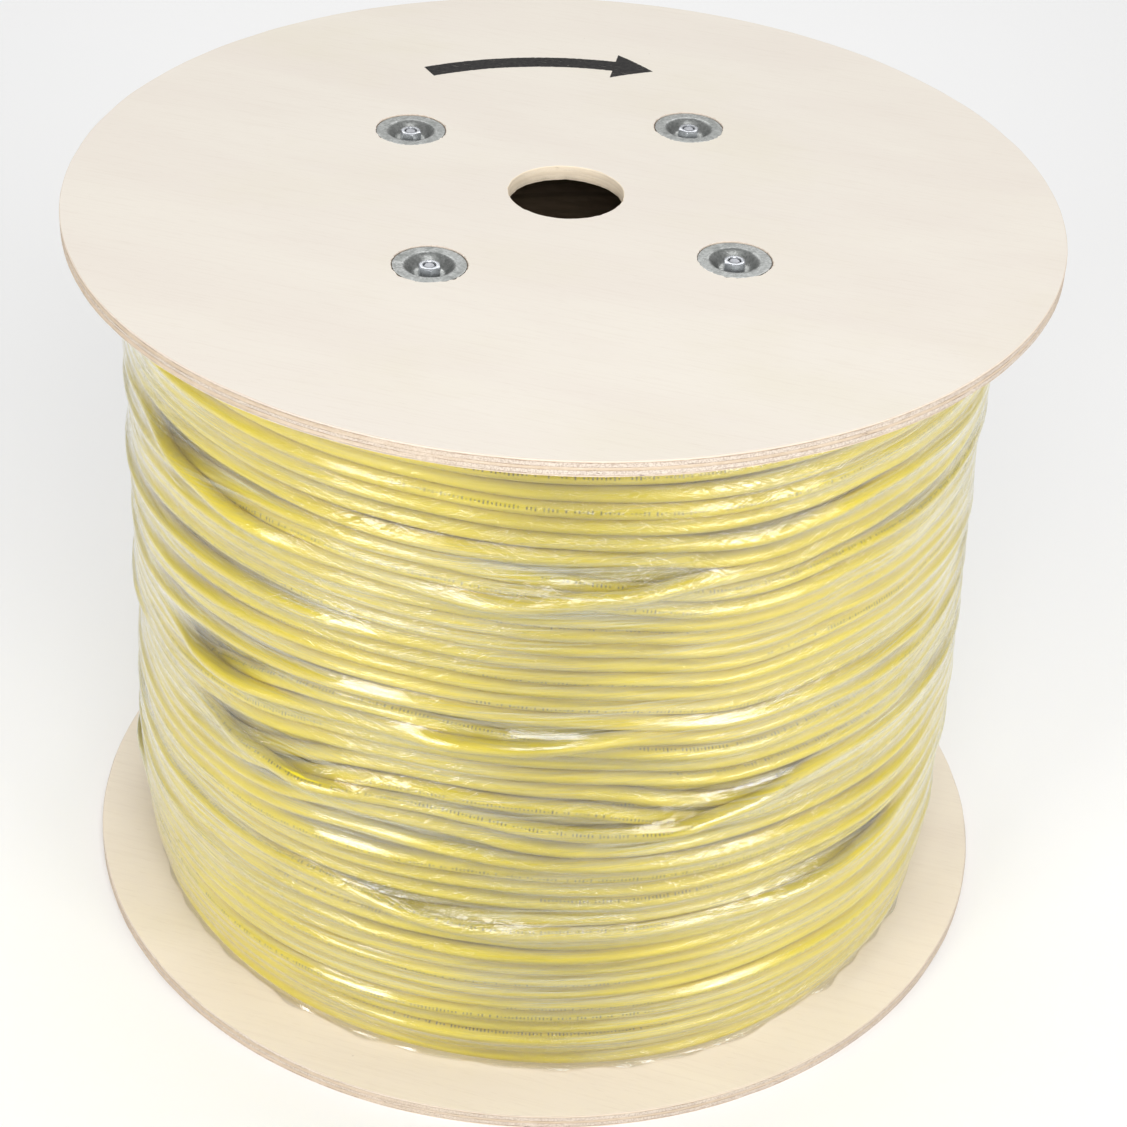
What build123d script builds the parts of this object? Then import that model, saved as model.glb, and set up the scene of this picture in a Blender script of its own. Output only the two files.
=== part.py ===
"""A plywood cable reel, wound with network cable and wrapped in stretch film.

The reel stands on its lower flange. The origin is the centre of that flange's
outer face, +Z runs up the reel's axis, and the tie rods stand on the diagonals
between X and Y. Every length is in millimetres.
"""

import os
from math import cos, radians, sin, sqrt, tan

from build123d import *

# Flanges: two plywood discs.
OVERALL_HEIGHT = 400.0
FLANGE_RADIUS = 250.0
FLANGE_THICKNESS = 8.0
FLANGE_EDGE_BREAK = 0.4
ARBOR_RADIUS = 29.0

# Core: a fibreboard tube whose ends sit in a groove in each flange.
CORE_OUTER_RADIUS = 125.0
CORE_WALL = 8.0
GROOVE_DEPTH = 3.0
GROOVE_CLEARANCE = 0.2

# Tie rods: M6 studding that pulls the flanges onto the core.
ROD_COUNT = 4
ROD_CIRCLE_RADIUS = 104.0
ROD_RADIUS = 3.0
ROD_END_BELOW_FACE = 0.8
ROD_END_CHAMFER = 0.6

# Cup washers: pressed sheet steel, let into the flange faces.
WASHER_RADIUS = 18.0
WASHER_SHEET = 1.2
WASHER_BELOW_FACE = 0.4
WASHER_HOLE_RADIUS = 3.3
CUP_MOUTH_RADIUS = 11.6
CUP_FLOOR_RADIUS = 8.8
CUP_DEPTH = 5.0
CUP_BEND_RADIUS = 0.9
SEAT_CLEARANCE = 0.3
CUP_HOLE_RADIUS = 13.4

# Hex nuts, M6. Each one stopped at its own angle when it was tightened.
NUT_ACROSS_FLATS = 10.0
NUT_HEIGHT = 5.0
NUT_BORE_RADIUS = 3.05
NUT_COUNTERSINK = 0.4
NUT_CORNER_ANGLE = 30.0
NUT_TURNS = {"upper": (41.0, 9.0, 2.0, 54.0), "lower": (17.0, 33.0, 48.0, 5.0)}

# Cable: about 500 m of 8 mm network cable, wound in side-by-side turns.
CABLE_RADIUS = 4.0
WINDING_RADIUS = 221.0
WINDING_TURNS = 48
WINDING_END_GAP = 0.1
CROWN_DROP = 9.0
CROWN_LENGTH = 40.0
TURN_ARC = 60.0

# Stretch film: a thin skin drawn over the winding.
FILM_THICKNESS = 0.4
FILM_CLEARANCE = 0.4
FILM_END_GAP = 0.6
FILM_CROWN_STEPS = 5

INNER_FACE = FLANGE_THICKNESS
TRAVERSE = OVERALL_HEIGHT - 2 * FLANGE_THICKNESS
CUP_FLOOR_BELOW_FACE = WASHER_BELOW_FACE + CUP_DEPTH
WINDING_INNER_RADIUS = CORE_OUTER_RADIUS


def ring(outer, inner, height):
    """A plain tube that stands on the XY plane."""
    align = (Align.CENTER, Align.CENTER, Align.MIN)
    return Cylinder(outer, height, align=align) - Cylinder(inner, height, align=align)


def disc(radius, low, high):
    """A cylinder on the Z axis from one height to another."""
    align = (Align.CENTER, Align.CENTER, Align.MIN)
    return Pos(0, 0, low) * Cylinder(radius, high - low, align=align)


def rod_places():
    """The tie rods' places on their circle, counted from the +X +Y diagonal."""
    return PolarLocations(ROD_CIRCLE_RADIUS, ROD_COUNT, start_angle=45, rotate=False)


def turned_over(shape):
    """The same piece for the lower end, upside down at the same place on the rod circle."""
    return Pos(0, 0, OVERALL_HEIGHT / 2) * Rot(180, 0, 0) * Pos(0, 0, -OVERALL_HEIGHT / 2) * shape


def revolved(points, fillets=()):
    """A solid of revolution about Z from (radius, height) points, with some corners rounded.

    fillets holds (corner number, radius) pairs.
    """
    profile = Polyline(*[(r, 0, z) for r, z in points], close=True)
    face = make_face(profile)
    for corner, radius in fillets:
        r, z = points[corner]
        nearest = face.vertices().sort_by_distance(Vector(r, 0, z))[0]
        face = Plane.XZ.location * fillet(Plane.XZ.location.inverse() * nearest, radius)
    return revolve(face, Axis.Z)


def upper_flange():
    """The plywood disc at the top, its face at the full height."""
    top = OVERALL_HEIGHT
    inner = top - FLANGE_THICKNESS
    body = disc(FLANGE_RADIUS, inner, top)
    rim = body.edges().filter_by(GeomType.CIRCLE)
    body = chamfer(rim, FLANGE_EDGE_BREAK)
    body -= disc(ARBOR_RADIUS, inner, top)
    groove = ring(
        CORE_OUTER_RADIUS + GROOVE_CLEARANCE,
        CORE_OUTER_RADIUS - CORE_WALL - GROOVE_CLEARANCE,
        GROOVE_DEPTH,
    )
    body -= Pos(0, 0, inner) * groove
    seat_depth = WASHER_BELOW_FACE + WASHER_SHEET
    for place in rod_places():
        body -= place * disc(WASHER_RADIUS + SEAT_CLEARANCE, top - seat_depth, top)
        body -= place * disc(CUP_HOLE_RADIUS, inner, top)
    return body


def core_tube():
    """The fibreboard tube between the bottoms of the two grooves."""
    foot = INNER_FACE - GROOVE_DEPTH
    height = OVERALL_HEIGHT - 2 * foot
    return Pos(0, 0, foot) * ring(CORE_OUTER_RADIUS, CORE_OUTER_RADIUS - CORE_WALL, height)


def tie_rod():
    """One rod on the Z axis, its ends a little below the flange faces."""
    rod = disc(ROD_RADIUS, ROD_END_BELOW_FACE, OVERALL_HEIGHT - ROD_END_BELOW_FACE)
    return chamfer(rod.edges().filter_by(GeomType.CIRCLE), ROD_END_CHAMFER)


def cup_washer():
    """One pressed washer on the Z axis, its flat rim just below the upper face.

    The two surfaces of the sheet are parallel, so the corners under a bend stand
    off from those above it by the same amount at the mouth and at the floor.
    """
    rim = OVERALL_HEIGHT - WASHER_BELOW_FACE
    floor = rim - CUP_DEPTH
    wall_run = CUP_MOUTH_RADIUS - CUP_FLOOR_RADIUS
    wall_length = sqrt(wall_run**2 + CUP_DEPTH**2)
    half_turn_tangent = (wall_length - wall_run) / CUP_DEPTH
    stand_off = WASHER_SHEET * half_turn_tangent
    outline = [
        (WASHER_RADIUS, rim),
        (CUP_MOUTH_RADIUS, rim),
        (CUP_FLOOR_RADIUS, floor),
        (WASHER_HOLE_RADIUS, floor),
        (WASHER_HOLE_RADIUS, floor - WASHER_SHEET),
        (CUP_FLOOR_RADIUS + stand_off, floor - WASHER_SHEET),
        (CUP_MOUTH_RADIUS + stand_off, rim - WASHER_SHEET),
        (WASHER_RADIUS, rim - WASHER_SHEET),
    ]
    outside = CUP_BEND_RADIUS + WASHER_SHEET
    bends = [(1, outside), (2, CUP_BEND_RADIUS), (5, outside), (6, CUP_BEND_RADIUS)]
    return revolved(outline, bends)


def hex_nut():
    """One nut on the Z axis, standing on the cup's floor with its corners on +X and -X."""
    floor = OVERALL_HEIGHT - CUP_FLOOR_BELOW_FACE
    flats = NUT_ACROSS_FLATS / 2
    corners = flats / cos(radians(30))
    prism = Pos(0, 0, floor) * extrude(RegularPolygon(corners, 6), NUT_HEIGHT)
    fall = (corners - flats * 0.95) * tan(radians(NUT_CORNER_ANGLE))
    turned = revolved(
        [
            (0, floor),
            (flats * 0.95, floor),
            (corners, floor + fall),
            (corners, floor + NUT_HEIGHT - fall),
            (flats * 0.95, floor + NUT_HEIGHT),
            (0, floor + NUT_HEIGHT),
        ]
    )
    nut = (prism & turned) - disc(NUT_BORE_RADIUS, floor, floor + NUT_HEIGHT)
    mouths = nut.edges().filter_by(GeomType.CIRCLE)
    mouths = mouths.filter_by(lambda edge: abs(edge.radius - NUT_BORE_RADIUS) < 1e-6)
    return chamfer(mouths, NUT_COUNTERSINK)


def crown(distance):
    """How far the winding falls short of its full radius this far from a flange."""
    share = max(0.0, 1 - distance / CROWN_LENGTH)
    return CROWN_DROP * share**2


def winding_radius(height):
    """The radius of the winding's crests at a height."""
    distance = min(height - INNER_FACE, OVERALL_HEIGHT - INNER_FACE - height)
    return WINDING_RADIUS - crown(distance)


def cable_winding():
    """All the cable as one closed body: bulk turns inside, single turns showing outside."""
    low = INNER_FACE + WINDING_END_GAP
    high = OVERALL_HEIGHT - low
    pitch = TRAVERSE / WINDING_TURNS
    rise = CABLE_RADIUS * sin(radians(TURN_ARC))
    back = CABLE_RADIUS * (1 - cos(radians(TURN_ARC)))
    line = []
    last = (WINDING_INNER_RADIUS, 0, low)
    for turn in range(WINDING_TURNS):
        height = INNER_FACE + (turn + 0.5) * pitch
        crest = winding_radius(height)
        start = (crest - back, 0, height - rise)
        if turn == 0:
            line.append(Line(last, (crest - back, 0, low)))
            last = (crest - back, 0, low)
        line.append(Line(last, start))
        last = (crest - back, 0, height + rise)
        line.append(ThreePointArc(start, (crest, 0, height), last))
    line.append(Line(last, (last[0], 0, high)))
    line.append(Line((last[0], 0, high), (WINDING_INNER_RADIUS, 0, high)))
    line.append(Line((WINDING_INNER_RADIUS, 0, high), (WINDING_INNER_RADIUS, 0, low)))
    return revolve(make_face(line), Axis.Z)


def stretch_film():
    """The film as a closed skin that clears the crests of the turns."""
    step = CROWN_LENGTH / FILM_CROWN_STEPS
    low = INNER_FACE + FILM_END_GAP
    lower = [low] + [INNER_FACE + step * n for n in range(1, FILM_CROWN_STEPS + 1)]
    heights = lower + [OVERALL_HEIGHT - z for z in reversed(lower)]
    inside = [(winding_radius(z) + FILM_CLEARANCE, z) for z in heights]
    outside = [(r + FILM_THICKNESS, z) for r, z in reversed(inside)]
    return revolved(inside + outside)


def write(name, shape):
    """Writes one node's STEP file."""
    export_step(shape, f"parts/{name}.step")


os.makedirs("parts", exist_ok=True)

flange = upper_flange()
write("upper_flange", flange)
write("lower_flange", turned_over(flange))
write("core_tube", core_tube())
write("cable_winding", cable_winding())
write("stretch_film", stretch_film())

rod, washer, nut = tie_rod(), cup_washer(), hex_nut()
for number, place in enumerate(rod_places()):
    write(f"tie_rod_{number + 1}", place * rod)
    for end in ("upper", "lower"):
        stopped = Rot(0, 0, NUT_TURNS[end][number]) * nut
        pieces = {"cup_washer": washer, "hex_nut": stopped}
        for name, piece in pieces.items():
            if end == "lower":
                piece = turned_over(piece)
            write(f"{end}_{name}_{number + 1}", place * piece)
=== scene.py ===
"""A plywood cable reel wound with yellow network cable under clear stretch film.

Every length is in metres in the shared frame: the reel stands on z = 0 and +Z is its axis.
"""

from math import acos, atan2, cos, hypot, pi, radians, sin, sqrt, tan

import bpy
import numpy as np
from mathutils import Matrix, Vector
from mathutils.geometry import delaunay_2d_cdt


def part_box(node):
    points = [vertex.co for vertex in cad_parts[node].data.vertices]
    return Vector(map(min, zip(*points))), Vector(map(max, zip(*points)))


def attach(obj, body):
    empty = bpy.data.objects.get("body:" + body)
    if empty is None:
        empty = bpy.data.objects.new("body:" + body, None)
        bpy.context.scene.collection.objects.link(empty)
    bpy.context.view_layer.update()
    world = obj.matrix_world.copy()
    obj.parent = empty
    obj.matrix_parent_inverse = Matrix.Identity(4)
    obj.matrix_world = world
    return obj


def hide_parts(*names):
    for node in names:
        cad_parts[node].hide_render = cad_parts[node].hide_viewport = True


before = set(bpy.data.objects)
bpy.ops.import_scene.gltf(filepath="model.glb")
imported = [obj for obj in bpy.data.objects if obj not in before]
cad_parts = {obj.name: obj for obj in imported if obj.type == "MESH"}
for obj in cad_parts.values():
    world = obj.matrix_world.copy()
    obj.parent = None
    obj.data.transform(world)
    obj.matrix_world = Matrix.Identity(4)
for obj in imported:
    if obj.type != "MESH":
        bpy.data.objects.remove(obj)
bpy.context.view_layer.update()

scene = bpy.context.scene

# ---------- sizes
FOOT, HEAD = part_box("upper_flange")
TOP = HEAD[2]
THICK = HEAD[2] - FOOT[2]
LOW = THICK  # the lower flange's inner face
HIGH = TOP - THICK  # the upper flange's inner face
FLANGE_R = 0.250
ARBOR_R = 0.029
PLY_LINES = (0.115, 0.395, 0.605, 0.885)  # the glue lines, as shares of the thickness
GRAIN = 24  # the direction of the face grain, in degrees
SEAT_R = 0.0183
SEAT_DEPTH = 0.0016
CUP_HOLE_R = 0.0134
GROOVE_OUT_R = 0.1252
GROOVE_IN_R = 0.1168
GROOVE_DEPTH = 0.003
CORE_R = 0.125
ROD_CIRCLE_R = 0.104
ROD_ANGLES = [radians(45 + 90 * n) for n in range(4)]


# ---------- helpers: meshes
def mesh_object(name, verts, faces, materials, replaces=(), smooth=True, angle=None):
    """A mesh piece that rides on the reel."""
    mesh = bpy.data.meshes.new(name)
    mesh.from_pydata([tuple(v) for v in verts], [], faces)
    mesh.validate()
    for material in materials:
        mesh.materials.append(material)
    obj = bpy.data.objects.new(name, mesh)
    scene.collection.objects.link(obj)
    mesh.polygons.foreach_set("use_smooth", [smooth] * len(mesh.polygons))
    if angle is not None:
        mesh.set_sharp_from_angle(angle=radians(angle))
    mesh.update()
    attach(obj, "root")
    if replaces:
        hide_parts(*replaces)
    return obj


class Mesher:
    """Collects vertices and faces."""

    def __init__(self):
        self.verts = []
        self.faces = []
        self.slots = []
        self.level = []  # faces that are flat, and so aren't shaded smooth

    def add(self, points):
        first = len(self.verts)
        self.verts.extend([tuple(map(float, p)) for p in points])
        return list(range(first, len(self.verts)))

    def face(self, corners, slot=0):
        self.faces.append(tuple(corners))
        self.slots.append(slot)

    def bridge(self, a, b, slot=0, closed=True):
        """Quads between two rows of the same length."""
        n = len(a)
        for i in range(n if closed else n - 1):
            j = (i + 1) % n
            self.face((a[i], a[j], b[j], b[i]), slot)

    def fan(self, loop, centre):
        for a, b in zip(loop, loop[1:] + loop[:1]):
            self.face((a, b, centre))

    def fill(self, loops, up, slot=0):
        """Triangles between an outer loop and the holes in it, on a level face."""
        ids = [v for loop in loops for v in loop]
        flat = [Vector(self.verts[v][:2]) for v in ids]
        edges, start = [], 0
        for loop in loops:
            n = len(loop)
            edges += [(start + i, start + (i + 1) % n) for i in range(n)]
            start += n
        verts, _, tris, origins, _, _ = delaunay_2d_cdt(flat, edges, [], 0, 1e-9)
        outer = np.array([self.verts[v][:2] for v in loops[0]])
        holes = [np.array([self.verts[v][:2] for v in loop]) for loop in loops[1:]]
        for tri in tris:
            c = sum((verts[i] for i in tri), Vector((0, 0))) / 3
            if not inside(c, outer) or any(inside(c, hole) for hole in holes):
                continue
            corners = [ids[origins[i][0]] for i in tri]
            a, b, d = (Vector(self.verts[i][:2]) for i in corners)
            turn = (b - a).cross(d - a)
            self.level.append(len(self.faces))
            self.face(corners if (turn > 0) == up else corners[::-1], slot)


def inside(point, loop):
    """True if a point is in a closed loop of 2-D points."""
    x, y = point
    x0, y0 = loop[:, 0], loop[:, 1]
    x1, y1 = np.roll(x0, -1), np.roll(y0, -1)
    spans = (y0 > y) != (y1 > y)
    with np.errstate(divide="ignore", invalid="ignore"):
        at = x0 + (y - y0) / (y1 - y0) * (x1 - x0)
    return bool(np.count_nonzero(spans & (x < at)) % 2)


def polar(r, angle, z, centre=(0, 0)):
    return (centre[0] + r * cos(angle), centre[1] + r * sin(angle), z)


def circle(radii, z, centre=(0, 0)):
    """Points at even angles, each at its own radius."""
    n = len(radii)
    return [polar(r, 2 * pi * i / n, z, centre) for i, r in enumerate(radii)]


def lathe(profile, segments, mesher=None):
    """A closed turned shape. Its profile goes once round the section; r = 0 is a single point."""
    m = mesher or Mesher()
    rings = [m.add([(0, 0, z)] if r == 0 else circle([r] * segments, z)) for r, z in profile]
    for a, b in zip(rings, rings[1:] + rings[:1]):
        if len(a) == 1 and len(b) > 1:
            m.fan(b[::-1], a[0])
        elif len(b) == 1 and len(a) > 1:
            m.fan(a, b[0])
        elif len(a) > 1:
            m.bridge(a, b)
    return m


def even_angles(n):
    return np.arange(n) * 2 * pi / n


def wave(rng, n, cycles, decay=1.0):
    """Smooth periodic noise of about unit size: n samples round the circle."""
    t = even_angles(n)
    out = np.zeros(n)
    for k in range(1, cycles + 1):
        size = k**-decay
        out += size * (rng.normal() * np.cos(k * t) + rng.normal() * np.sin(k * t))
    return out / max(out.std(), 1e-9)


def eased(share):
    """A share from 0 to 1, with soft ends."""
    return share * share * (3 - 2 * share)


# ---------- helpers: materials
class Graph:
    """A short way to write a material's nodes."""

    def __init__(self, name):
        self.material = bpy.data.materials.new(name)
        self.material.use_nodes = True
        self.tree = self.material.node_tree
        self.tree.nodes.clear()
        self.out = self.tree.nodes.new("ShaderNodeOutputMaterial")

    def put(self, socket, value):
        if isinstance(value, bpy.types.NodeSocket):
            self.tree.links.new(value, socket)
        elif socket.type == "RGBA":
            socket.default_value = (*value, 1.0)
        else:
            socket.default_value = value

    def node(self, kind, settings=None, **inputs):
        made = self.tree.nodes.new("ShaderNode" + kind)
        for key, value in (settings or {}).items():
            setattr(made, key, value)
        for key, value in inputs.items():
            self.put(made.inputs[key.replace("_", " ")], value)
        return made

    def math(self, operation, a, b=0.0, clamp=False):
        made = self.node("Math", {"operation": operation, "use_clamp": clamp})
        self.put(made.inputs[0], a)
        self.put(made.inputs[1], b)
        return made.outputs[0]

    def add(self, a, b, clamp=False):
        return self.math("ADD", a, b, clamp)

    def sub(self, a, b):
        return self.math("SUBTRACT", a, b)

    def mul(self, a, b, clamp=False):
        return self.math("MULTIPLY", a, b, clamp)

    def coords(self, scale, turn=(0, 0, 0), move=(0, 0, 0)):
        """Object coordinates in metres, turned, then stretched by one factor along each axis."""
        vector = self.node("TexCoord").outputs["Object"]
        if any(turn):
            turn = tuple(radians(a) for a in turn)
            vector = self.node("Mapping", Vector=vector, Rotation=turn).outputs[0]
        return self.node("Mapping", Vector=vector, Scale=scale, Location=move).outputs[0]

    def noise(self, scale, detail, rough, turn=(0, 0, 0), move=(0, 0, 0), distort=0.0):
        """Noise with scale features to the metre along each axis."""
        vector = self.coords(scale, turn, move)
        made = self.node("TexNoise", Vector=vector, Scale=1.0, Detail=detail)
        self.put(made.inputs["Roughness"], rough)
        self.put(made.inputs["Distortion"], distort)
        return made.outputs["Fac"]

    def ramp(self, factor, stops):
        """Greys, as (place, grey) stops."""
        made = self.node("ValToRGB", Fac=factor)
        band = made.color_ramp
        while len(band.elements) > 1:
            band.elements.remove(band.elements[-1])
        for i, (at, grey) in enumerate(stops):
            spot = band.elements[0] if i == 0 else band.elements.new(at)
            spot.position = at
            spot.color = (grey, grey, grey, 1.0)
        return made.outputs["Color"]

    def mix(self, factor, a, b):
        made = self.node("Mix", {"data_type": "RGBA"}, Factor=factor)
        first, second = (s for s in made.inputs if s.name in "AB" and s.type == "RGBA")
        self.put(first, a)
        self.put(second, b)
        return next(s for s in made.outputs if s.type == "RGBA")

    def bump(self, height, strength, distance):
        made = self.node("Bump", Height=height, Strength=strength, Distance=distance)
        return made.outputs["Normal"]

    def range(self, value, low, high, to_low=0.0, to_high=1.0, kind="SMOOTHSTEP"):
        made = self.node("MapRange", {"interpolation_type": kind}, Value=value)
        for key, v in zip(("From Min", "From Max", "To Min", "To Max"), (low, high, to_low, to_high)):
            self.put(made.inputs[key], v)
        return made.outputs["Result"]

    def principled(self, **inputs):
        made = self.node("BsdfPrincipled", **inputs)
        self.put(self.out.inputs["Surface"], made.outputs[0])
        return made


def plywood_material(name, light, pink, stain):
    """The face veneer: pale, with faint stains and fine short grain."""
    g = Graph(name)
    along = (0, 0, GRAIN)
    grain = g.noise((26, 620, 60), 4, 0.55, along)
    figure = g.noise((4.5, 15, 9), 3, 0.5, along, distort=0.6)
    cloud = g.noise((7, 9, 9), 4, 0.6, (0, 0, 10), (3, 1, 0))
    fleck = g.noise((110, 1500, 200), 1, 0.5, along)
    speck = g.node("TexVoronoi", Scale=28, Vector=g.coords((1, 1, 1), (0, 0, 7)))
    colour = g.mix(g.range(figure, 0.35, 0.68, 0, 0.6), light, pink)
    colour = g.mix(g.range(cloud, 0.5, 0.75, 0, 0.65), colour, stain)
    colour = g.mix(g.range(grain, 0.45, 0.75, 0, 0.10), colour, (0.62, 0.5, 0.38))
    colour = g.mix(g.range(fleck, 0.62, 0.75, 0, 0.09), colour, (0.5, 0.38, 0.27))
    dots = g.range(speck.outputs["Distance"], 0, 0.018, 0.5, 0)
    colour = g.mix(dots, colour, (0.42, 0.33, 0.25))
    height = g.add(g.mul(grain, 0.6), g.mul(fleck, 0.4))
    g.principled(
        Base_Color=colour,
        Roughness=g.range(grain, 0.3, 0.7, 0.62, 0.5),
        Specular_IOR_Level=0.35,
        Normal=g.bump(height, 0.12, 0.0004),
    )
    return g.material


def ply_edge_material(name, face_z, sign, painted_light_share=0):
    """The plies' edges: each second ply shows end grain where the next shows long grain.

    The last argument, 0 to 1, is how much painted light makes the wall pale and its lines faint.
    """
    g = Graph(name)
    x, y, z = g.node("SeparateXYZ", Vector=g.node("TexCoord").outputs["Object"]).outputs
    radius = g.math("SQRT", g.add(g.mul(x, x), g.mul(y, y)))
    wobble = g.noise((9, 9, 20), 3, 0.6)
    depth = g.mul(g.sub(face_z, z), sign / THICK)
    depth = g.add(depth, g.mul(g.sub(wobble, 0.5), 0.11))
    # how far the grain of the face ply is seen end on, 0 to 1 round the rim
    turned = g.add(g.mul(x, cos(radians(GRAIN))), g.mul(y, sin(radians(GRAIN))))
    end = g.range(g.math("POWER", g.math("DIVIDE", turned, radius), 2), 0.25, 0.75)
    streaks = g.range(g.noise((14, 14, 900), 3, 0.6), 0.3, 0.7)
    long_grain = g.mix(streaks, (0.61, 0.49, 0.365), (0.50, 0.39, 0.275))
    pores = g.range(g.noise((1400, 1400, 1400), 1, 0.5), 0.42, 0.62)
    end_grain = g.mix(pores, (0.61, 0.53, 0.45), (0.43, 0.35, 0.285))
    odd = g.mix(end, long_grain, end_grain)
    even = g.mix(g.sub(1, end), long_grain, end_grain)
    steps = [(0, 0)]
    for n, line in enumerate(PLY_LINES):
        steps += [(line, n % 2), (line + 0.002, 1 - n % 2)]
    colour = g.mix(g.ramp(depth, steps), odd, even)
    glue = [(0, 0), (0.085, 0.05), (0.115, 1), (0.15, 0.15), (0.36, 0.05), (0.395, 0.8), (0.43, 0.05)]
    glue += [(0.57, 0.05), (0.605, 0.8), (0.64, 0.05), (0.85, 0.05), (0.885, 0.8), (0.915, 0), (1, 0)]
    broken = g.range(g.noise((60, 60, 30), 4, 0.7), 0.32, 0.62, 0.25, 1)
    lines = g.mul(g.ramp(depth, glue), broken)
    colour = g.mix(g.mul(lines, 0.95), colour, (0.27, 0.17, 0.11))
    # painted shade: the pits are coloured dark as if in shadow, and the bump below dents them
    shaded_pits = g.range(g.noise((95, 95, 420), 3, 0.6), 0.69, 0.74)
    colour = g.mix(shaded_pits, colour, (0.17, 0.11, 0.08))
    fuzz = g.noise((300, 300, 2600), 3, 0.6)
    colour = g.mix(g.range(fuzz, 0.35, 0.75, 0, 0.25), colour, (0.9, 0.83, 0.74))
    pale = g.ramp(depth, [(0, 1), (0.05, 0.8), (0.09, 0), (0.92, 0), (0.97, 0.7), (1, 0.8)])
    colour = g.mix(pale, colour, (0.76, 0.66, 0.56))
    # painted light: a pale band over the arbor hole's wall stands in for the strong light that falls on it
    if painted_light_share:
        band = g.range(g.noise((30, 30, 700), 2, 0.5), 0.35, 0.65, painted_light_share, painted_light_share * 0.8)
        colour = g.mix(band, colour, (1, 0.86, 0.66))
    height = g.sub(g.sub(fuzz, g.mul(lines, 1.4)), g.mul(shaded_pits, 3))
    normal = g.bump(height, 0.5, 0.0003)
    g.principled(Base_Color=colour, Roughness=0.75, Specular_IOR_Level=0.25, Normal=normal)
    return g.material


def zinc_material(name, colour, dark, rough, spangle, strength):
    """Zinc on steel: grey crystals of slightly different brightness, stains and fine scratches."""
    g = Graph(name)
    cells = g.node("TexVoronoi", Scale=spangle, Vector=g.coords((1, 1, 1)))
    stain = g.noise((120, 120, 160), 5, 0.65)
    fine = g.noise((900, 900, 900), 3, 0.6)
    tone = g.node("SeparateColor", Color=cells.outputs["Color"]).outputs[0]
    shade = g.mix(g.range(tone, 0, 1, 0, 0.6, "LINEAR"), colour, dark)
    shade = g.mix(g.range(stain, 0.45, 0.75, 0, 0.55), shade, dark)
    roughness = g.add(g.range(stain, 0.3, 0.7, rough - 0.08, rough + 0.12), g.mul(fine, 0.08))
    height = g.add(g.mul(stain, 0.7), g.mul(fine, 0.3))
    normal = g.bump(height, strength, 0.0003)
    g.principled(Base_Color=shade, Metallic=1, Roughness=roughness, Normal=normal)
    return g.material


def board_material():
    """Grey-brown wound fibreboard with a spiral of paper plies."""
    g = Graph("core_board")
    fibre = g.noise((60, 60, 300), 4, 0.6)
    way = {"wave_type": "BANDS", "bands_direction": "Z"}
    tilted = g.coords((1, 1, 3), (18, 0, 0))
    spiral = g.node("TexWave", way, Scale=6, Distortion=1.5, Vector=tilted)
    colour = g.mix(g.range(fibre, 0.3, 0.7), (0.30, 0.215, 0.135), (0.215, 0.15, 0.09))
    colour = g.mix(g.range(spiral.outputs["Fac"], 0.9, 1, 0, 0.5), colour, (0.12, 0.08, 0.05))
    g.principled(Base_Color=colour, Roughness=0.85, Normal=g.bump(fibre, 0.3, 0.0005))
    return g.material


TICK_STEP = 0.0019  # from one printed tick to the next, along the cable


def jacket_material():
    """Yellow jacket: satin, slightly uneven, with a worn grey row of printed ticks."""
    g = Graph("cable_jacket")
    along, round_it, _ = g.node("SeparateXYZ", Vector=g.node("UVMap", {"uv_map": "along"}).outputs[0]).outputs
    # each tick has its own height, and the row shows for just under half of each metre
    cell = g.math("DIVIDE", along, TICK_STEP)
    pick = g.node("TexWhiteNoise", {"noise_dimensions": "1D"}, W=g.math("FLOOR", cell))
    chance = pick.outputs["Value"]
    shown = g.math("LESS_THAN", g.math("FRACT", along), 0.46)
    half = g.mul(g.add(chance, 0.35), 0.035)
    off = g.math("ABSOLUTE", g.sub(round_it, 0.5))
    tick = g.mul(g.math("LESS_THAN", off, half), g.math("LESS_THAN", g.math("FRACT", cell), 0.42))
    tick = g.mul(g.mul(tick, shown), g.math("LESS_THAN", chance, 0.86))
    worn = g.range(g.noise((900, 900, 900), 2, 0.5), 0.35, 0.6, 0.4, 0.85)
    cloud = g.noise((18, 18, 60), 3, 0.5)
    colour = g.mix(g.range(cloud, 0.3, 0.7), (0.82, 0.70, 0.032), (0.78, 0.655, 0.026))
    fine = g.noise((500, 500, 1200), 2, 0.5)
    g.principled(
        Base_Color=g.mix(g.mul(tick, worn), colour, (0.19, 0.17, 0.09)),
        Roughness=g.range(cloud, 0.3, 0.7, 0.36, 0.46),
        Specular_IOR_Level=0.45,
        Normal=g.bump(fine, 0.06, 0.0002),
    )
    return g.material


SHINE = 0.10  # what several turns of film reflect together, seen straight on
EDGE_SHINE = 1.4  # how much more they reflect at a glance than one face does
FILM_SHIFT = 0.37  # moves the film's streaks along
VEIL = 0.37  # how milky the film is where it is loose
TIGHT_VEIL = 0.01  # and where it is tight


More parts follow.
